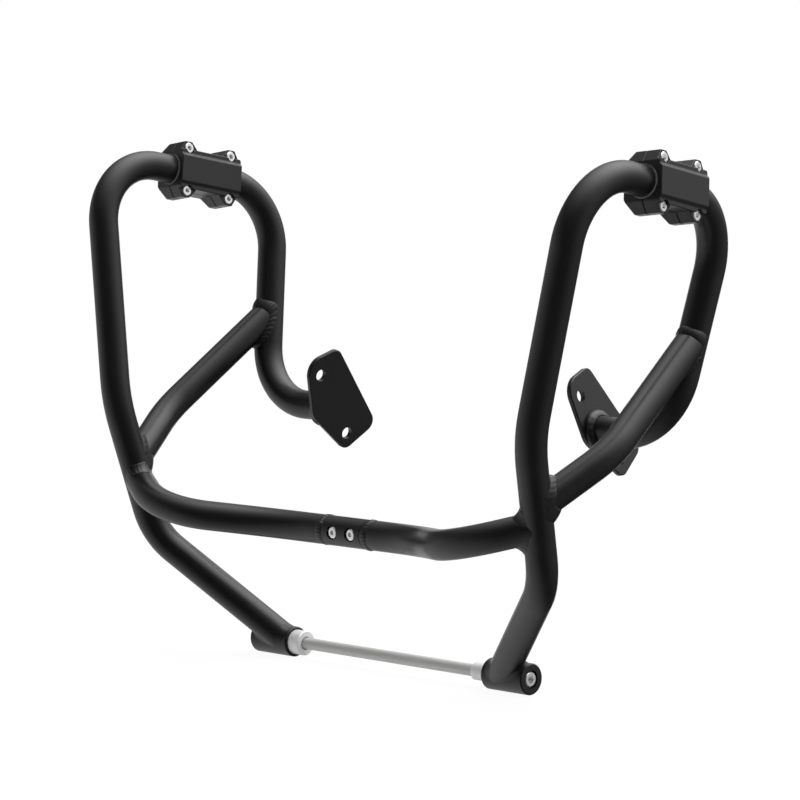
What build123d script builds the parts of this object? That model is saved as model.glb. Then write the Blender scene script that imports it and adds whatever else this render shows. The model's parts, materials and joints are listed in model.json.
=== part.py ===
from build123d import *
import os
from math import cos, radians, sin, tan

os.makedirs("parts", exist_ok=True)

# Motorcycle crash bars: two mirrored welded tube halves, bolted together at the front
# and hung on one rod through the lower engine mount. X is across the bike, with its right
# side positive, Y runs to the rear and Z is up. The origin is the middle of the engine rod.

# Tube stock: the branches are a little slimmer than the main tube, and the boss a little fatter
tube_od = 25.4
tube_wall = 2.0
branch_step = 0.4
branch_od = tube_od - branch_step
boss_step = 0.6
boss_od = tube_od + boss_step

# Lower boss, its end cap, the spacers and the engine rod, all on the X axis
boss_inner = 115
boss_length = 45
boss_rounding = 1.5
leg_inset = 12
rod_d = 10
rod_clearance = 0.25
cap_d = 12.7
cap_height = 7.2
cap_socket = 6
cap_socket_depth = 5
cap_recess_d = 14.8
cap_recess = 8
cap_chamfer = 0.8
spacer_od = {"left": 21, "right": 15}
spacer_length = {"left": 12, "right": 17}
spacer_bore = {"left": 11.5, "right": 10.5}
spacer_chamfer = 0.7

# Right-hand main tube: its corners from the lower boss to the frame plate, and its bends
knee_x = 229
knee_y = -61
knee_z = 90
waist_x = 242
waist_y = -92
waist_z = 206
front_top_x = 281
front_top_y = -76
front_top_z = 418
rear_top_x = 263
rear_top_y = 116
rear_top_z = 382
rear_low_x = 236
rear_low_y = 79
rear_low_z = 194.5
plate_end_y = 81
plate_end_z = 195.5
plate_overrun = 1
knee_bend = 60
waist_bend = 120
front_top_bend = 55
rear_top_bend = 56
rear_low_bend = 59

# Brace from the shin of the main tube to its rear leg; each end is a share of that run
brace_foot_share = 0.54
brace_bend_x = 260
brace_bend_y = -18
brace_bend_z = 192
brace_radius = 88
brace_head_share = 0.573

# Cross tube from the shin to the bolted joint in the middle
cross_foot_share = 0.41
cross_out_x = 171
cross_out_y = -107
cross_out_z = 119
cross_in_x = 80
joint_y = -47
joint_z = 109.5
cross_out_bend = 75
cross_in_bend = 130

# Half-lap joint: two half-round tongues, each on a full-round collar, and two button screws
joint_half = 26
collar_length = 4
lap_end_gap = 0.5
joint_screw_pitch = 21
joint_screw_d = 6
joint_screw_clearance = 0.25
joint_screw_length = 18
button_d = 10.5
button_height = 3.3
button_socket = 4
button_seat = 8
button_recess_d = 11.6

# Frame plate: the middle of its inner face, how far it leans and toes in, and its outline
# there with two bolt holes, rearward and up from that middle
plate_middle_x = 153
plate_middle_y = 90
plate_middle_z = 200
plate_lean = 12
plate_toe = 5
plate_thickness = 4.5
plate_outline = ((-41.5, 36), (-8.5, 48.5), (46.5, -23.5), (14, -47), (-27, -14))
plate_rounding = (16, 8.5, 10, 9.5, 16)
plate_hole_d = 10.5
plate_holes = ((-24.9, 24.6), (13.4, -30.7))
plate_edge = 0.7

# Slider block clamped on the top rail: lobed in side view, with a stepped pad on each face
slider_reach = {"left": 111.2, "right": 113.4}
slider_roll = 7
slider_half = 33
slider_split = 0.3
liner_wall = 1.2
liner_od = tube_od + 2 * liner_wall
liner_proud = 0.7
slider_wall = 3.6
slider_valley = liner_od / 2 + slider_wall
slider_lobe = 7.5
slider_lobe_top = slider_valley + slider_lobe
shoulder_drop = 1.7
slider_shoulder = slider_valley - shoulder_drop
slider_cover = 4.1
slider_pad = liner_od / 2 + slider_cover
strip_drop = 2
slider_strip = slider_pad - strip_drop
face_drop = 5
slider_face = slider_pad - face_drop
strip_width = 4
slider_pad_edge = slider_valley - strip_width
pad_bevel = 2
slider_pad_flat = slider_pad_edge - pad_bevel
slider_crown = 11
slider_chamfer = 0.5
cut_past = 1
lobe_foot = 13
lobe_near = 20
lobe_far = 27.5
slider_screw_d = 5
slider_screw_fit = 0.2
slider_screw_s = 23.2
screw_clear = 1.6
slider_screw_n = slider_valley + screw_clear
slider_head_d = 9.3
slider_head_height = 5
slider_head_proud = 0.5
slider_head_seat = slider_face + slider_head_proud - slider_head_height
slider_head_recess_d = 9.8
slider_head_chamfer = 0.6
slider_screw_end = 6.5
slider_hole_spare = 1
slider_hole_end = slider_screw_end + slider_hole_spare
slider_socket = 4
slider_socket_depth = 3

# Corners of the right-hand half; the left half mirrors them in X
boss_end = Vector(boss_inner + leg_inset, 0, 0)
knee = Vector(knee_x, knee_y, knee_z)
waist = Vector(waist_x, waist_y, waist_z)
front_top = Vector(front_top_x, front_top_y, front_top_z)
rear_top = Vector(rear_top_x, rear_top_y, rear_top_z)
rear_low = Vector(rear_low_x, rear_low_y, rear_low_z)
plate_middle = Vector(plate_middle_x, plate_middle_y, plate_middle_z)
plate_end = Vector(plate_middle_x - plate_overrun, plate_end_y, plate_end_z)
main_bends = (knee_bend, waist_bend, front_top_bend, rear_top_bend, rear_low_bend)
brace_bend = Vector(brace_bend_x, brace_bend_y, brace_bend_z)
cross_out = Vector(cross_out_x, cross_out_y, cross_out_z)
cross_in = Vector(cross_in_x, joint_y, joint_z)
cross_bends = (cross_out_bend, cross_in_bend)


def on_side(point, side):
    return Vector(side * point.X, point.Y, point.Z)


def hexagon_radius(across_flats):
    return across_flats / 3 ** 0.5


# The welded half frames, with what is bolted to each
for hand, side in (("left", -1), ("right", 1)):
    main_points = [
        on_side(point, side)
        for point in (boss_end, knee, waist, front_top, rear_top, rear_low, plate_end)
    ]
    shin_low = on_side(knee, side)
    shin_run = on_side(waist, side) - shin_low
    leg_top = on_side(rear_top, side)
    leg_run = on_side(rear_low, side) - leg_top

    # The main tube's full round, which its branches are coped to; it isn't a piece
    with BuildPart() as main_round:
        with BuildLine() as main_run:
            FilletPolyline(*main_points, radius=main_bends)
        with BuildSketch(Plane(main_run.line @ 0, z_dir=main_run.line % 0)):
            Circle(tube_od / 2)
        sweep()

    with BuildPart() as boss:
        with BuildSketch(Plane.YZ.offset(side * boss_inner)):
            Circle(boss_od / 2)
        extrude(amount=side * boss_length)
        fillet(boss.edges(), boss_rounding)
        with BuildSketch(Plane.YZ.offset(side * boss_inner)):
            Circle(rod_d / 2 + rod_clearance)
        extrude(amount=side * boss_length, mode=Mode.SUBTRACT)
        with BuildSketch(Plane.YZ.offset(side * (boss_inner + boss_length - cap_recess))):
            Circle(cap_recess_d / 2)
        extrude(amount=side * cap_recess, mode=Mode.SUBTRACT)
    boss.part.label = f"{hand}_boss"
    export_step(boss.part, f"parts/{hand}_boss.step")

    outward = Vector(side, tan(radians(plate_toe)), tan(radians(plate_lean)))
    rearward = Vector(-tan(radians(plate_toe)), side, 0)
    plate_plane = Plane(on_side(plate_middle, side), x_dir=rearward, z_dir=outward)
    with BuildPart() as plate:
        with BuildSketch(plate_plane):
            with BuildLine():
                FilletPolyline(
                    *[(side * y, z) for y, z in plate_outline], radius=plate_rounding, close=True
                )
            make_face()
            with Locations(*[(side * y, z) for y, z in plate_holes]):
                Circle(plate_hole_d / 2, mode=Mode.SUBTRACT)
        extrude(amount=plate_thickness)
        flats = plate.faces().sort_by(SortBy.AREA)[-2:]
        chamfer([edge for flat in flats for edge in flat.outer_wire().edges()], plate_edge)
    plate.part.label = f"{hand}_mount_plate"
    export_step(plate.part, f"parts/{hand}_mount_plate.step")

    with BuildPart() as main_tube:
        with BuildLine() as tube_run:
            FilletPolyline(*main_points, radius=main_bends)
        with BuildSketch(Plane(tube_run.line @ 0, z_dir=tube_run.line % 0)):
            Circle(tube_od / 2)
            Circle(tube_od / 2 - tube_wall, mode=Mode.SUBTRACT)
        sweep()
        with BuildSketch(Plane.YZ.offset(side * boss_inner)):
            Circle(boss_od / 2)
        extrude(amount=side * boss_length, mode=Mode.SUBTRACT)
        with BuildSketch(plate_plane.offset(plate_thickness)):
            Rectangle(4 * tube_od, 4 * tube_od)
        extrude(amount=-2 * tube_od, mode=Mode.SUBTRACT)
    main_tube.part.label = f"{hand}_main_tube"
    export_step(main_tube.part, f"parts/{hand}_main_tube.step")

    with BuildPart() as brace:
        with BuildLine() as brace_run:
            FilletPolyline(
                shin_low + shin_run * brace_foot_share,
                on_side(brace_bend, side),
                leg_top + leg_run * brace_head_share,
                radius=brace_radius,
            )
        with BuildSketch(Plane(brace_run.line @ 0, z_dir=brace_run.line % 0)):
            Circle(branch_od / 2)
            Circle(branch_od / 2 - tube_wall, mode=Mode.SUBTRACT)
        sweep()
        add(main_round.part, mode=Mode.SUBTRACT)
    brace.part.label = f"{hand}_brace_tube"
    export_step(brace.part, f"parts/{hand}_brace_tube.step")

    with BuildPart() as cross:
        with BuildLine() as cross_run:
            FilletPolyline(
                shin_low + shin_run * cross_foot_share,
                on_side(cross_out, side),
                on_side(cross_in, side),
                Vector(side * joint_half, cross_in.Y, cross_in.Z),
                radius=cross_bends,
            )
        with BuildSketch(Plane(cross_run.line @ 0, z_dir=cross_run.line % 0)):
            Circle(branch_od / 2)
            Circle(branch_od / 2 - tube_wall, mode=Mode.SUBTRACT)
        sweep()
        add(main_round.part, mode=Mode.SUBTRACT)
    cross.part.label = f"{hand}_cross_tube"
    export_step(cross.part, f"parts/{hand}_cross_tube.step")

    # The left half carries the front tongue and the right half the rear one
    with BuildPart() as tongue:
        with BuildSketch(Plane.YZ.offset(side * joint_half)):
            with Locations((cross_in.Y, cross_in.Z)):
                Circle(branch_od / 2)
        extrude(amount=-side * collar_length)
        with BuildSketch(Plane.YZ.offset(side * (joint_half - collar_length))):
            with Locations((cross_in.Y, cross_in.Z)):
                Circle(branch_od / 2)
            with Locations((cross_in.Y - side * branch_od / 2, cross_in.Z)):
                Rectangle(branch_od, branch_od, mode=Mode.SUBTRACT)
        extrude(amount=-side * (2 * (joint_half - collar_length) - lap_end_gap))
        with BuildSketch(Plane.XZ.offset(-cross_in.Y)):
            with Locations((0, cross_in.Z)):
                with GridLocations(joint_screw_pitch, 0, 2, 1):
                    Circle(joint_screw_d / 2 + joint_screw_clearance)
        extrude(amount=branch_od, both=True, mode=Mode.SUBTRACT)
        with BuildSketch(Plane.XZ.offset(button_seat - cross_in.Y)):
            with Locations((0, cross_in.Z)):
                with GridLocations(joint_screw_pitch, 0, 2, 1):
                    Circle(button_recess_d / 2)
        extrude(amount=branch_od, mode=Mode.SUBTRACT)
    tongue.part.label = f"{hand}_joint_tongue"
    export_step(tongue.part, f"parts/{hand}_joint_tongue.step")

    with BuildPart() as spacer:
        with BuildSketch(Plane.YZ.offset(side * boss_inner)):
            Circle(spacer_od[hand] / 2)
            Circle(spacer_bore[hand] / 2, mode=Mode.SUBTRACT)
        extrude(amount=-side * spacer_length[hand])
        end = spacer.faces().sort_by(Axis.X)[0 if side > 0 else -1]
        chamfer(end.outer_wire().edges(), spacer_chamfer)
    spacer.part.label = f"{hand}_spacer"
    export_step(spacer.part, f"parts/{hand}_spacer.step")

    with BuildPart() as cap:
        with BuildSketch(Plane.YZ.offset(side * (boss_inner + boss_length - cap_recess))):
            Circle(cap_d / 2)
        extrude(amount=side * cap_height)
        chamfer(cap.faces().sort_by(Axis.X)[-1 if side > 0 else 0].edges(), cap_chamfer)
        with BuildSketch(
            Plane.YZ.offset(side * (boss_inner + boss_length - cap_recess + cap_height))
        ):
            RegularPolygon(hexagon_radius(cap_socket), 6)
        extrude(amount=-side * cap_socket_depth, mode=Mode.SUBTRACT)
    cap.part.label = f"{hand}_end_cap"
    export_step(cap.part, f"parts/{hand}_end_cap.step")

    # Slider block: planes of its side view and its front view, both through its middle
    rail = (leg_top - on_side(front_top, side)).normalized()
    level = (Vector(1, 0, 0) - rail * rail.X).normalized()
    across = level * cos(radians(slider_roll)) + level.cross(rail) * sin(radians(slider_roll))
    slider_middle = on_side(front_top, side) + rail * slider_reach[hand]
    slider_side = Plane(slider_middle, x_dir=rail, z_dir=across)
    slider_front = Plane(slider_middle, x_dir=across, z_dir=rail)

    # The half that takes the screw heads faces +X on both sides, the other is its backing
    head_profile = (
        (slider_split / 2, 0),
        (slider_split / 2, slider_lobe_top),
        (slider_face, slider_lobe_top),
        (slider_face, slider_valley),
        (slider_strip, slider_valley),
        (slider_strip, slider_pad_edge),
        (slider_pad, slider_pad_flat),
        (slider_pad, 0),
    )
    back_profile = (
        (-slider_split / 2, 0),
        (-slider_split / 2, slider_lobe_top),
        (-slider_crown, slider_lobe_top),
        (-slider_pad, slider_pad_edge),
        (-slider_pad, 0),
    )
    for half_name, profile, hole_d, hole_from, hole_to in (
        ("head_half", head_profile, slider_screw_d + 2 * slider_screw_fit, 0, slider_pad),
        ("back_half", back_profile, slider_screw_d + slider_screw_fit, -slider_hole_end, 0),
    ):
        with BuildPart() as clamp:
            with BuildSketch(slider_front):
                with BuildLine():
                    Polyline(*profile)
                    mirror(about=Plane.XZ)
                make_face()
            extrude(amount=slider_half, both=True)
            with BuildSketch(slider_side):
                with BuildLine():
                    Polyline(
                        (-slider_half, 0),
                        (-slider_half, slider_shoulder),
                        (-lobe_far, slider_lobe_top),
                        (-lobe_near, slider_lobe_top),
                        (-lobe_foot, slider_valley),
                        (lobe_foot, slider_valley),
                        (lobe_near, slider_lobe_top),
                        (lobe_far, slider_lobe_top),
                        (slider_half, slider_shoulder),
                        (slider_half, 0),
                    )
                    mirror(about=Plane.XZ)
                make_face()
            extrude(amount=slider_pad + cut_past, both=True, mode=Mode.INTERSECT)
            chamfer(clamp.edges(), slider_chamfer)
            with BuildSketch(slider_front):
                Circle(liner_od / 2)
            extrude(amount=slider_half + cut_past, both=True, mode=Mode.SUBTRACT)
            with BuildSketch(slider_side.offset(hole_from)):
                with GridLocations(2 * slider_screw_s, 2 * slider_screw_n, 2, 2):
                    Circle(hole_d / 2)
            extrude(amount=hole_to - hole_from, mode=Mode.SUBTRACT)
            with BuildSketch(slider_side.offset(slider_head_seat)):
                with GridLocations(2 * slider_screw_s, 2 * slider_screw_n, 2, 2):
                    Circle(slider_head_recess_d / 2)
            extrude(amount=slider_pad, mode=Mode.SUBTRACT)
        clamp.part.label = f"{hand}_slider_{half_name}"
        export_step(clamp.part, f"parts/{hand}_slider_{half_name}.step")

    with BuildPart() as liner:
        with BuildSketch(slider_front):
            Circle(liner_od / 2)
        extrude(amount=slider_half + liner_proud, both=True)
        add(main_round.part, mode=Mode.SUBTRACT)
    liner.part.label = f"{hand}_slider_liner"
    export_step(liner.part, f"parts/{hand}_slider_liner.step")

    for number, (along, up) in enumerate(((-1, 1), (1, 1), (-1, -1), (1, -1)), start=1):
        screw_seat = slider_side.offset(slider_head_seat)
        spot = (along * slider_screw_s, up * slider_screw_n)
        with BuildPart() as slider_screw:
            with BuildSketch(screw_seat):
                with Locations(spot):
                    Circle(slider_head_d / 2)
            extrude(amount=slider_head_height)
            crown = slider_screw.faces().sort_by(Axis(slider_middle, across))[-1]
            chamfer(crown.edges(), slider_head_chamfer)
            with BuildSketch(screw_seat.offset(slider_head_height)):
                with Locations(spot):
                    RegularPolygon(hexagon_radius(slider_socket), 6)
            extrude(amount=-slider_socket_depth, mode=Mode.SUBTRACT)
            with BuildSketch(screw_seat):
                with Locations(spot):
                    Circle(slider_screw_d / 2)
            extrude(amount=-slider_head_seat - slider_screw_end)
        slider_screw.part.label = f"{hand}_slider_screw_{number}"
        export_step(slider_screw.part, f"parts/{hand}_slider_screw_{number}.step")

# Button screws that clamp the half-lap joint, put in from the front
for hand, side in (("left", -1), ("right", 1)):
    spot = (side * joint_screw_pitch / 2, cross_in.Z)
    button_plane = Plane.XZ.offset(button_seat - cross_in.Y)
    with BuildPart() as joint_screw:
        with BuildSketch(button_plane):
            with Locations(spot):
                Circle(button_d / 2)
        extrude(amount=button_height)
        crown = joint_screw.faces().sort_by(Axis.Y)[0]
        fillet(crown.edges(), button_height / 2)
        with BuildSketch(button_plane.offset(button_height)):
            with Locations(spot):
                RegularPolygon(hexagon_radius(button_socket), 6)
        extrude(amount=-button_height / 2, mode=Mode.SUBTRACT)
        with BuildSketch(button_plane):
            with Locations(spot):
                Circle(joint_screw_d / 2)
        extrude(amount=-joint_screw_length)
    joint_screw.part.label = f"{hand}_joint_screw"
    export_step(joint_screw.part, f"parts/{hand}_joint_screw.step")

# Engine rod from cap to cap, with a working clearance in the bosses and the spacers
rod_half = boss_inner + boss_length - cap_recess
with BuildPart() as rod:
    with BuildSketch(Plane.YZ.offset(-rod_half)):
        Circle(rod_d / 2)
    extrude(amount=2 * rod_half)
rod.part.label = "engine_rod"
export_step(rod.part, "parts/engine_rod.step")
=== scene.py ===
import json
import random
from math import cos, pi, radians, sin, sqrt, tan

import bpy
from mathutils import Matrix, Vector


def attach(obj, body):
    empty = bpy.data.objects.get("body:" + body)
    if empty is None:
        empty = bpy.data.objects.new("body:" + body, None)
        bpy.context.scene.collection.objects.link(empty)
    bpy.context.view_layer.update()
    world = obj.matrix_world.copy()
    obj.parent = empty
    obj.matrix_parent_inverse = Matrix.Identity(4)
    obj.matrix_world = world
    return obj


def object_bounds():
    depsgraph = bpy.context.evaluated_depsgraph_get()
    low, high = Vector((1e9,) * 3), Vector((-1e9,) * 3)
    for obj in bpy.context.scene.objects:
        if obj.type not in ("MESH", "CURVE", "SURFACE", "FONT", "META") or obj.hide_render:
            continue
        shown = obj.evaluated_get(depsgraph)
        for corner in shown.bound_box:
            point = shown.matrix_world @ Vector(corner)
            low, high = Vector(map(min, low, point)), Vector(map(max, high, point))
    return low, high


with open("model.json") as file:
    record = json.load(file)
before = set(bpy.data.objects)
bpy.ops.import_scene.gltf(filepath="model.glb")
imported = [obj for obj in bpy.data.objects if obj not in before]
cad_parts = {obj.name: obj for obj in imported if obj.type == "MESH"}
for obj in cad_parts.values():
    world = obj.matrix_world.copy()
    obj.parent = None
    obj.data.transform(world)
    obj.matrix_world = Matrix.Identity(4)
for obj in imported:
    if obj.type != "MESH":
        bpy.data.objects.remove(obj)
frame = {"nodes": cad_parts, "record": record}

cad_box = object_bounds()
nodes = frame["nodes"]
bpy.ops.object.select_all(action="DESELECT")

# Sizes of the solids that the welds follow, in metres, and two of the frame's axes
MM = 0.001
TUBE_R = 12.7 * MM
BRANCH_R = 12.5 * MM
BOSS_R = 13.0 * MM
PLATE_THICKNESS = 4.5 * MM
X_AXIS = Vector((1, 0, 0))
Z_AXIS = Vector((0, 0, 1))


def point(x, y, z):
    """A place given in millimetres."""
    return Vector((x * MM, y * MM, z * MM))


def along(start, end, share):
    """The place at this share of the way from start to end."""
    return start + (end - start) * share


def on_side(place, side):
    """The right half's place or direction (side 1), or its mirror on the left half (side -1)."""
    return Vector((side * place.x, place.y, place.z))


# The right half's route, as the solids have it; the plate's outward lean is in degrees
BOSS_END = point(127, 0, 0)
KNEE = point(229, -61, 90)
WAIST = point(242, -92, 206)
REAR_TOP = point(263, 116, 382)
REAR_LOW = point(236, 79, 194.5)
PLATE_END = point(152, 81, 195.5)
BRACE_FOOT = along(KNEE, WAIST, share=0.54)
BRACE_BEND = point(260, -18, 192)
BRACE_HEAD = along(REAR_TOP, REAR_LOW, share=0.573)
CROSS_FOOT = along(KNEE, WAIST, share=0.41)
CROSS_OUT = point(171, -107, 119)
JOINT = point(26, -47, 109.5)
PLATE_MIDDLE = point(153, 90, 200)
PLATE_LEAN_BACK = 5
PLATE_LEAN_UP = 12
PLATE_OUTWARD = Vector((1, tan(radians(PLATE_LEAN_BACK)), tan(radians(PLATE_LEAN_UP)))).normalized()

# Camera, at the photograph's place: metres, degrees, and millimetres for the lens and sensor
CAMERA_PLACE = (2.04907, -2.05471, 0.48200)
CAMERA_TURN = (84.767, 0.15, 44.749)
CAMERA_SENSOR = 36
CAMERA_LENS = 157.5
CAMERA_REACH = 60

bpy.ops.object.camera_add(location=CAMERA_PLACE, rotation=[radians(turn) for turn in CAMERA_TURN])
camera = bpy.context.object
camera.name = "photo_camera"
camera.data.sensor_width = CAMERA_SENSOR
camera.data.lens = CAMERA_LENS
camera.data.clip_end = CAMERA_REACH
bpy.context.scene.camera = camera
bpy.context.scene.view_settings.view_transform = "Standard"

# A Mix node's sockets by number, because they share their names between kinds of data
MIX_FACTOR = 0
MIX_FLOAT_A = 2
MIX_FLOAT_B = 3
MIX_FLOAT_RESULT = 0
MIX_COLOUR_A = 6
MIX_COLOUR_B = 7
MIX_COLOUR_RESULT = 2
WHITE = (1, 1, 1, 1)


# Helpers that add one kind of node to a tree
def math_node(tree, operation, first, second):
    node = tree.nodes.new("ShaderNodeMath")
    node.operation = operation
    for socket, value in zip(node.inputs, (first, second)):
        if isinstance(value, (int, float)):
            socket.default_value = value
        else:
            tree.links.new(value, socket)
    return node.outputs[0]


def map_range(tree, value, start, stop, low, high):
    """The value's span from start to stop becomes the span from low to high."""
    node = tree.nodes.new("ShaderNodeMapRange")
    tree.links.new(value, node.inputs["Value"])
    node.inputs["From Min"].default_value = start
    node.inputs["From Max"].default_value = stop
    node.inputs["To Min"].default_value = low
    node.inputs["To Max"].default_value = high
    return node.outputs[0]


def noise(tree, vector, scale, detail):
    node = tree.nodes.new("ShaderNodeTexNoise")
    tree.links.new(vector, node.inputs["Vector"])
    tree.links.new(scale, node.inputs["Scale"])
    node.inputs["Detail"].default_value = detail
    return node.outputs[0]


def mix_shaders(tree, share, first, second):
    node = tree.nodes.new("ShaderNodeMixShader")
    for socket, value in zip(node.inputs, (share, first, second)):
        tree.links.new(value, socket)
    return node.outputs[0]


def mirrored_ray(tree, path):
    """One for a ray that a glossy surface mirrors or a clear one lets through, and nought for others."""
    return math_node(tree, "MAXIMUM", path.outputs["Is Glossy Ray"], path.outputs["Is Transmission Ray"])


# Shared surface effects, as shader groups
FINE_SHARE = 0.6
COARSE_SHARE = 0.4
COARSE_SCALE = 0.3
STREAK_SCALE = 0.12


def new_group(name, inputs, outputs):
    tree = bpy.data.node_groups.new(name, "ShaderNodeTree")
    for label, value in inputs:
        socket = tree.interface.new_socket(label, in_out="INPUT", socket_type="NodeSocketFloat")
        socket.default_value = value
    for label in outputs:
        tree.interface.new_socket(label, in_out="OUTPUT", socket_type="NodeSocketFloat")
    return tree, tree.nodes.new("NodeGroupInput"), tree.nodes.new("NodeGroupOutput")


def make_coat_group():
    """The grain of a coat, and the slow change over it that tints and dulls it."""
    tree, inputs, outputs = new_group(
        "coat_grain", (("Grain per metre", 900.0), ("Cloud per metre", 18.0)), ("Height", "Cloud")
    )
    place = tree.nodes.new("ShaderNodeTexCoord").outputs["Object"]
    grain = inputs.outputs["Grain per metre"]
    fine = noise(tree, place, grain, detail=2.0)
    coarse = noise(tree, place, math_node(tree, "MULTIPLY", grain, COARSE_SCALE), detail=1.0)
    fine_part = math_node(tree, "MULTIPLY", fine, FINE_SHARE)
    coarse_part = math_node(tree, "MULTIPLY", coarse, COARSE_SHARE)
    cloud = noise(tree, place, inputs.outputs["Cloud per metre"], detail=4.0)
    tree.links.new(math_node(tree, "ADD", fine_part, coarse_part), outputs.inputs["Height"])
    tree.links.new(cloud, outputs.inputs["Cloud"])
    return tree


def make_turned_group():
    """The fine lines that turning, drawing or blasting leaves, and wider streaks along them."""
    tree, inputs, outputs = new_group(
        "turned_lines",
        (("Lines per metre", 2500.0), ("Along X", 1.0), ("Round X", 0.05)),
        ("Height", "Streak"),
    )
    place = tree.nodes.new("ShaderNodeTexCoord").outputs["Object"]
    split = tree.nodes.new("ShaderNodeSeparateXYZ")
    tree.links.new(place, split.inputs[0])
    join = tree.nodes.new("ShaderNodeCombineXYZ")
    for axis, stretch in (("X", "Along X"), ("Y", "Round X"), ("Z", "Round X")):
        stretched = math_node(tree, "MULTIPLY", split.outputs[axis], inputs.outputs[stretch])
        tree.links.new(stretched, join.inputs[axis])
    pitch = inputs.outputs["Lines per metre"]
    lines = noise(tree, join.outputs[0], pitch, detail=3.0)
    wide = noise(tree, join.outputs[0], math_node(tree, "MULTIPLY", pitch, STREAK_SCALE), detail=3.0)
    tree.links.new(lines, outputs.inputs["Height"])
    tree.links.new(wide, outputs.inputs["Streak"])
    return tree


coat_grain = make_coat_group()
turned_lines = make_turned_group()

# Finishes; a noise keeps mostly between these two values
NOISE_LOW = 0.3
NOISE_HIGH = 0.7


def new_material(name):
    material = bpy.data.materials.new(name)
    material.use_nodes = True
    return material, material.node_tree, material.node_tree.nodes["Principled BSDF"]


def place_group(tree, group, values):
    node = tree.nodes.new("ShaderNodeGroup")
    node.node_tree = group
    for label, value in values.items():
        node.inputs[label].default_value = value
    return node


def blend_colours(tree, value, low, high):
    node = tree.nodes.new("ShaderNodeMix")
    node.data_type = "RGBA"
    tree.links.new(value, node.inputs[MIX_FACTOR])
    node.inputs[MIX_COLOUR_A].default_value = (*low, 1)
    node.inputs[MIX_COLOUR_B].default_value = (*high, 1)
    return node.outputs[MIX_COLOUR_RESULT]


def vary_surface(tree, shader, change, dark, light, rough):
    """Colour and roughness that follow one slow change over the surface."""
    least_rough, most_rough = rough
    roughness = map_range(tree, change, NOISE_LOW, NOISE_HIGH, least_rough, most_rough)
    tree.links.new(blend_colours(tree, change, dark, light), shader.inputs["Base Color"])
    tree.links.new(roughness, shader.inputs["Roughness"])


def add_bump(tree, shader, height, distance, strength):
    bump = tree.nodes.new("ShaderNodeBump")
    bump.inputs["Distance"].default_value = distance
    bump.inputs["Strength"].default_value = strength
    tree.links.new(height, bump.inputs["Height"])
    tree.links.new(bump.outputs[0], shader.inputs["Normal"])


def coated(name, grain, dark, light, rough, specular, bump_depth, strength):
    material, tree, shader = new_material(name)
    effect = place_group(tree, coat_grain, {"Grain per metre": grain})
    vary_surface(tree, shader, effect.outputs["Cloud"], dark, light, rough)
    shader.inputs["Specular IOR Level"].default_value = specular
    add_bump(tree, shader, effect.outputs["Height"], bump_depth, strength)
    return material


def bare_metal(name, lines, dark, light, rough, metallic, bump_depth, strength):
    material, tree, shader = new_material(name)
    effect = place_group(tree, turned_lines, lines)
    vary_surface(tree, shader, effect.outputs["Streak"], dark, light, rough)
    shader.inputs["Metallic"].default_value = metallic
    add_bump(tree, shader, effect.outputs["Height"], bump_depth, strength)
    return material


finishes = {
    "frame_coat": coated(
        "satin_black_powder_coat", grain=900,
        dark=(0.0040, 0.0040, 0.0043), light=(0.0055, 0.0055, 0.0058),
        rough=(0.30, 0.36), specular=0.44, bump_depth=0.06 * MM, strength=0.35,
    ),
    "slider_black": coated(
        "matt_black_slider", grain=2200,
        dark=(0.009, 0.009, 0.0094), light=(0.012, 0.012, 0.0124),
        rough=(0.29, 0.36), specular=0.38, bump_depth=0.05 * MM, strength=0.3,
    ),
    "liner_rubber": coated(
        "grey_liner", grain=1500,
        dark=(0.09, 0.09, 0.09), light=(0.12, 0.12, 0.12),
        rough=(0.5, 0.65), specular=0.4, bump_depth=0.05 * MM, strength=0.3,
    ),
    "screw_steel": bare_metal(
        "bright_screw_steel", lines={"Lines per metre": 3000, "Along X": 1.0, "Round X": 1.0},
        dark=(0.80, 0.80, 0.80), light=(0.92, 0.92, 0.91),
        rough=(0.24, 0.34), metallic=0.9, bump_depth=0.03 * MM, strength=0.2,
    ),
    "spacer_metal": bare_metal(
        "blasted_spacer", lines={"Lines per metre": 1500, "Along X": 1.0, "Round X": 0.8},
        dark=(0.66, 0.66, 0.66), light=(0.82, 0.82, 0.81),
        rough=(0.40, 0.55), metallic=0.35, bump_depth=0.06 * MM, strength=0.35,
    ),
    "rod_steel": bare_metal(
        "drawn_rod_steel", lines={"Lines per metre": 1600, "Along X": 0.06, "Round X": 1.0},
        dark=(0.42, 0.42, 0.41), light=(0.54, 0.54, 0.53),
        rough=(0.45, 0.60), metallic=0.35, bump_depth=0.04 * MM, strength=0.3,
    ),
}

slot_of = {row["node"]: row["material_slot"] for row in frame["record"]["subparts"]}
for name, node in nodes.items():
    node.data.materials.clear()
    node.data.materials.append(finishes[slot_of[name]])

# Weld beads: a crowned band along each seam, with the ripples that the weld pool leaves as it sets
SEAM_STEPS = 256
FACE_STEPS = 9
ROOT_STEPS = 3
BAND_STEPS = FACE_STEPS + ROOT_STEPS
START_R = 20 * MM
START_BAND_R = 4 * MM
TOE_SUNK = 0.15 * MM
ROOT_SUNK = 1.2 * MM
FEWEST_RIPPLES = 8
RIPPLE_BEND = 0.5
RIPPLE_FADE = 4
HALF_LUMP = 0.5
SWAY_WAVES = (2, 3, 5)
NEARLY_UPRIGHT = 0.2


def across(direction):
    """Two unit vectors square to the direction and to each other."""
    first = direction.cross(Z_AXIS)
    if first.length < NEARLY_UPRIGHT:
        first = direction.cross(X_AXIS)
    first.normalize()
    return first, direction.cross(first).normalized()


def round_of(direction):
    """Unit vectors all round a tube that runs along direction."""
    first, second = across(direction)
    turns = [2 * pi * step / SEAM_STEPS for step in range(SEAM_STEPS)]
    return [first * cos(turn) + second * sin(turn) for turn in turns]


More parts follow.
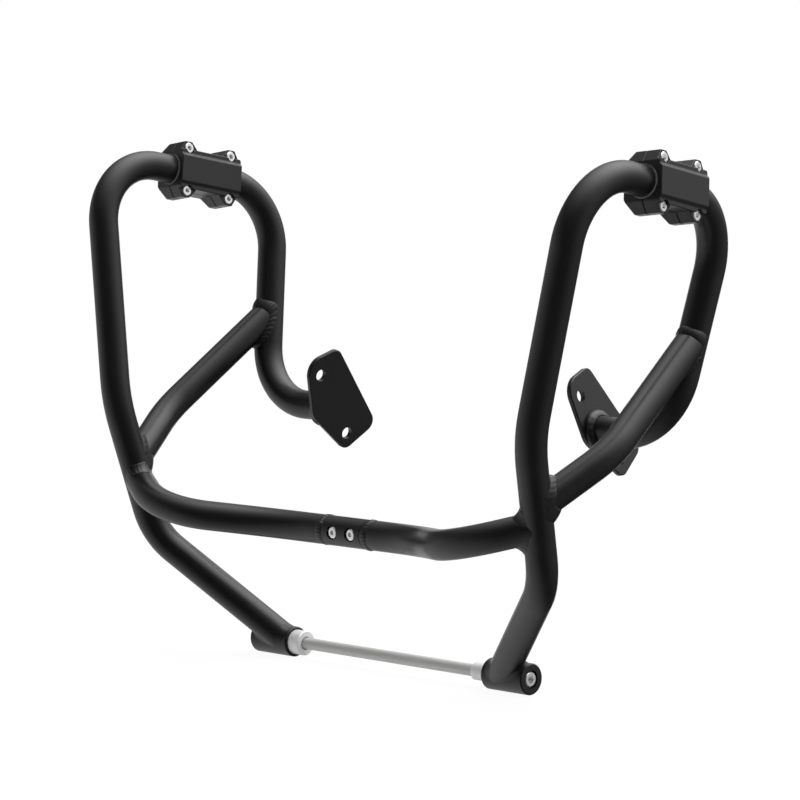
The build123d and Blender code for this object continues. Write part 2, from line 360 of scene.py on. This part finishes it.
def saddle_seam(foot, direction, branch_r, spine, spine_r):
    """Where a round branch meets a round spine. Each step has the seam's place there, then for the
    branch and for the spine the way along its surface from the seam and the surface's normal."""
    direction = direction.normalized()
    spine = spine.normalized()
    seam = []
    for radial in round_of(direction):
        start = radial * branch_r
        flat_start = start - spine * start.dot(spine)
        flat_way = direction - spine * direction.dot(spine)
        # The reach to the spine's surface solves a quadratic equation with these three terms
        square_term = flat_way.dot(flat_way)
        half_linear = flat_start.dot(flat_way)
        constant = flat_start.dot(flat_start) - spine_r * spine_r
        under_root = max(half_linear * half_linear - square_term * constant, 0)
        reach = (-half_linear + sqrt(under_root)) / square_term
        offset = start + direction * reach
        spine_out = (offset - spine * offset.dot(spine)).normalized()
        tangent = radial.cross(spine_out)
        away = tangent.cross(spine_out).normalized()
        if away.dot(radial) < 0:
            away = -away
        seam.append((foot + offset, direction, radial, away, spine_out))
    return seam


def plate_seam(centre, direction, tube_r, outward):
    """Where a round tube stands on a flat plate, in the same steps."""
    direction = direction.normalized()
    seam = []
    for radial in round_of(direction):
        reach = -(radial * tube_r).dot(outward) / direction.dot(outward)
        away = (radial - outward * radial.dot(outward)).normalized()
        seam.append((centre + radial * tube_r + direction * reach, direction, radial, away, outward))
    return seam


def ring_seam(centre, direction, tube_r):
    """Where two round ends of one size meet, in the same steps."""
    direction = direction.normalized()
    return [
        (centre + radial * tube_r, direction, radial, -direction, radial)
        for radial in round_of(direction)
    ]


def onto_round(place, foot, spine, spine_r):
    """The place moved straight out or in, onto the round spine's surface."""
    spine = spine.normalized()
    middle = foot + spine * (place - foot).dot(spine)
    return middle + (place - middle).normalized() * spine_r


def seam_length(seam):
    places = [step[0] for step in seam]
    return sum((place - places[number - 1]).length for number, place in enumerate(places))


def new_band(name):
    """A torus whose points are then laid along a seam."""
    bpy.ops.object.select_all(action="DESELECT")
    bpy.ops.mesh.primitive_torus_add(
        major_segments=SEAM_STEPS, minor_segments=BAND_STEPS, major_radius=START_R, minor_radius=START_BAND_R
    )
    band = bpy.context.object
    band.name = name
    return band


def finish_band(band):
    bpy.ops.object.mode_set(mode="EDIT")
    bpy.ops.mesh.select_all(action="SELECT")
    bpy.ops.mesh.normals_make_consistent(inside=False)
    bpy.ops.object.mode_set(mode="OBJECT")
    bpy.ops.object.shade_smooth()
    band.data.materials.clear()
    band.data.materials.append(finishes["frame_coat"])
    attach(band, "root")


def bead_cut(step, legs, crown, sway, spine, lump_at):
    """One cut across a bead: its crowned face from toe to toe, then its root inside the two surfaces.
    With a spine given, the second toe lies on that round surface."""
    root, first_way, first_normal, second_way, second_normal = step
    way = (first_normal + second_normal).normalized()
    first_toe = root + first_way * legs[0] * sway - first_normal * TOE_SUNK
    second_toe = root + second_way * legs[1] * sway
    if spine:
        second_toe = onto_round(second_toe, *spine)
    second_toe = second_toe - second_normal * TOE_SUNK
    top = (first_toe + second_toe) / 2 + way * 2 * crown * sway
    cut = []
    for number in range(FACE_STEPS):
        share = number / (FACE_STEPS - 1)
        place = first_toe * (1 - share) ** 2 + top * 2 * share * (1 - share) + second_toe * share ** 2
        cut.append(place + way * lump_at(2 * share - 1))
    deep = root - way * ROOT_SUNK
    cut.append((second_toe + deep) / 2 - second_normal * ROOT_SUNK / 2)
    cut.append(deep)
    cut.append((first_toe + deep) / 2 - first_normal * ROOT_SUNK / 2)
    return cut


def lay_weld(name, seam, legs, crown, ripple, height, wander, seed, spine=None):
    """A closed band over the seam: legs along the two surfaces, a crown, and ripples of this length
    and height. The wander is the share by which the ripples' heights and the bead's size vary."""
    draw = random.Random(seed)
    ripples = max(FEWEST_RIPPLES, round(seam_length(seam) / ripple))
    swell = [1 + wander * draw.uniform(-1, 1) for _ in range(ripples)]
    sways = [(waves, draw.uniform(0, 2 * pi)) for waves in SWAY_WAVES]
    band = new_band(name)
    points = band.data.vertices
    for number, step in enumerate(seam):
        progress = ripples * number / len(seam)
        turn = 2 * pi * number / len(seam)
        sway = 1 + wander * sum(sin(waves * turn + phase) for waves, phase in sways) / len(sways)

        def lump_at(side_share):
            """The ripple's height, at a share from -1 at the first toe to 1 at the second."""
            stage = progress + RIPPLE_BEND * side_share ** 2
            lump = swell[int(stage) % ripples] * abs(sin(pi * stage))
            return height * (lump - HALF_LUMP) * (1 - side_share ** RIPPLE_FADE)

        for corner, place in enumerate(bead_cut(step, legs, crown, sway, spine, lump_at)):
            points[number * BAND_STEPS + corner].co = place
    finish_band(band)


def lay_saddle_weld(name, foot, direction, branch_r, spine, spine_r, **bead):
    """A weld round a branch that stands on a round spine."""
    seam = saddle_seam(foot, direction, branch_r, spine, spine_r)
    lay_weld(name, seam, spine=(foot, spine, spine_r), **bead)


# The left brace head's bead is wider than the right one's
for hand, side, head_leg in (("left", -1, 5.8 * MM), ("right", 1, 4.4 * MM)):
    shin = on_side(WAIST - KNEE, side)
    rear_leg = on_side(REAR_LOW - REAR_TOP, side)
    lay_saddle_weld(
        f"{hand}_brace_foot_weld",
        on_side(BRACE_FOOT, side), on_side(BRACE_BEND - BRACE_FOOT, side), BRANCH_R, shin, TUBE_R,
        legs=(8.4 * MM, 6.0 * MM), crown=0.5 * MM, ripple=4.0 * MM, height=0.22 * MM, wander=0.24, seed=11,
    )
    lay_saddle_weld(
        f"{hand}_brace_head_weld",
        on_side(BRACE_HEAD, side), on_side(BRACE_BEND - BRACE_HEAD, side), BRANCH_R, rear_leg, TUBE_R,
        legs=(head_leg, head_leg), crown=0.7 * MM, ripple=2.9 * MM, height=0.34 * MM, wander=0.22, seed=12,
    )
    lay_saddle_weld(
        f"{hand}_cross_foot_weld",
        on_side(CROSS_FOOT, side), on_side(CROSS_OUT - CROSS_FOOT, side), BRANCH_R, shin, TUBE_R,
        legs=(6.5 * MM, 7.0 * MM), crown=-0.9 * MM, ripple=3.4 * MM, height=0.18 * MM, wander=0.14, seed=13,
    )
    lay_saddle_weld(
        f"{hand}_boss_weld",
        on_side(BOSS_END, side), on_side(KNEE - BOSS_END, side), TUBE_R, X_AXIS, BOSS_R,
        legs=(4.5 * MM, 4.0 * MM), crown=-0.2 * MM, ripple=2.6 * MM, height=0.08 * MM, wander=0.10, seed=14,
    )
    tail = on_side(REAR_LOW - PLATE_END, side).normalized()
    plate_out = on_side(PLATE_OUTWARD, side)
    plate_face = on_side(PLATE_MIDDLE + PLATE_OUTWARD * PLATE_THICKNESS, side)
    plate_foot = on_side(PLATE_END, side)
    reach = (plate_face - plate_foot).dot(plate_out) / tail.dot(plate_out)
    lay_weld(
        f"{hand}_plate_weld",
        plate_seam(plate_foot + tail * reach, tail, TUBE_R, plate_out),
        legs=(6.5 * MM, 5.0 * MM), crown=1.6 * MM, ripple=4.4 * MM, height=0.12 * MM, wander=0.10, seed=15,
    )
    lay_weld(
        f"{hand}_collar_weld",
        ring_seam(on_side(JOINT, side), on_side(X_AXIS, side), BRANCH_R),
        legs=(3.8 * MM, 3.2 * MM), crown=0.7 * MM, ripple=3.0 * MM, height=0.26 * MM, wander=0.50, seed=16,
    )

# Studio floor: a wide disc of pale paper just under the object, with its lengths in metres
FLOOR_SIDES = 96
FLOOR_R = 6
FLOOR_DROP = 0.5 * MM
PAPER_TONE = 0.86
PAPER_ROUGHNESS = 0.9


def make_paper():
    """Pale paper that the camera sees as white, a little less so near the object, whose faint shadow
    shows there. A reflection looks through it, to the room below the floor's level."""
    paper, tree, shader = new_material("pale_paper")
    shader.inputs["Base Color"].default_value = (PAPER_TONE, PAPER_TONE, PAPER_TONE, 1)
    shader.inputs["Roughness"].default_value = PAPER_ROUGHNESS
    glow = tree.nodes.new("ShaderNodeEmission")
    glow.inputs["Color"].default_value = WHITE
    room = tree.nodes.new("ShaderNodeBsdfTransparent")
    path = tree.nodes.new("ShaderNodeLightPath")
    distance = tree.nodes.new("ShaderNodeVectorMath")
    distance.operation = "LENGTH"
    tree.links.new(tree.nodes.new("ShaderNodeTexCoord").outputs["Object"], distance.inputs[0])
    white_share = map_range(tree, distance.outputs["Value"], start=0.4, stop=1.6, low=0.95, high=1.0)
    seen_white = math_node(tree, "MULTIPLY", path.outputs["Is Camera Ray"], white_share)
    seen = mix_shaders(tree, seen_white, shader.outputs[0], glow.outputs[0])
    surface = mix_shaders(tree, mirrored_ray(tree, path), seen, room.outputs[0])
    tree.links.new(surface, tree.nodes["Material Output"].inputs["Surface"])
    return paper


bpy.ops.object.select_all(action="DESELECT")
bpy.ops.mesh.primitive_circle_add(
    vertices=FLOOR_SIDES, radius=FLOOR_R, fill_type="NGON", location=(0, 0, cad_box[0][2] - FLOOR_DROP)
)
floor = bpy.context.object
floor.name = "floor"
bpy.ops.object.transform_apply(location=True)
floor.data.materials.append(make_paper())

# The room: a large soft light high on the right, a pale wall low on the left, dim on the camera's side
GLOW_POWER = 4.0

world = bpy.data.worlds.new("studio")
bpy.context.scene.world = world
world.use_nodes = True
sky = world.node_tree
background = sky.nodes["Background"]
view_way = sky.nodes.new("ShaderNodeTexCoord").outputs["Generated"]


def toward(direction):
    """How nearly a ray runs in the direction: one when it does, nought when square to it."""
    node = sky.nodes.new("ShaderNodeVectorMath")
    node.operation = "DOT_PRODUCT"
    sky.links.new(view_way, node.inputs[0])
    node.inputs[1].default_value = Vector(direction).normalized()
    return node.outputs["Value"]


def glow_toward(direction, strength):
    facing = math_node(sky, "MAXIMUM", toward(direction), 0.0)
    return math_node(sky, "MULTIPLY", math_node(sky, "POWER", facing, GLOW_POWER), strength)


soft_light = glow_toward((0.161, 0.445, 0.881), strength=4.2)
ceiling = glow_toward((0, 0, 1), strength=0.7)
right_fill = glow_toward((0.83, 0.545, 0.12), strength=0.38)
pale_wall = map_range(sky, toward((-0.689, -0.312, -0.654)), start=0.3, stop=1.0, low=0.05, high=0.95)
from_above = math_node(sky, "ADD", soft_light, ceiling)
from_sides = math_node(sky, "ADD", right_fill, pale_wall)
room_level = math_node(sky, "ADD", from_above, from_sides)

# The camera sees plain white, and so do reflections that run on to the backdrop behind the object
path = sky.nodes.new("ShaderNodeLightPath")
backdrop = map_range(sky, toward((-0.70, 0.71, -0.09)), start=0.9, stop=0.95, low=0.0, high=1.0)
backdrop_mirrored = math_node(sky, "MULTIPLY", mirrored_ray(sky, path), backdrop)
shown_white = math_node(sky, "MAXIMUM", path.outputs["Is Camera Ray"], backdrop_mirrored)
level = sky.nodes.new("ShaderNodeMix")
level.data_type = "FLOAT"
sky.links.new(shown_white, level.inputs[MIX_FACTOR])
sky.links.new(room_level, level.inputs[MIX_FLOAT_A])
level.inputs[MIX_FLOAT_B].default_value = 1.0
sky.links.new(level.outputs[MIX_FLOAT_RESULT], background.inputs["Strength"])
background.inputs["Color"].default_value = WHITE
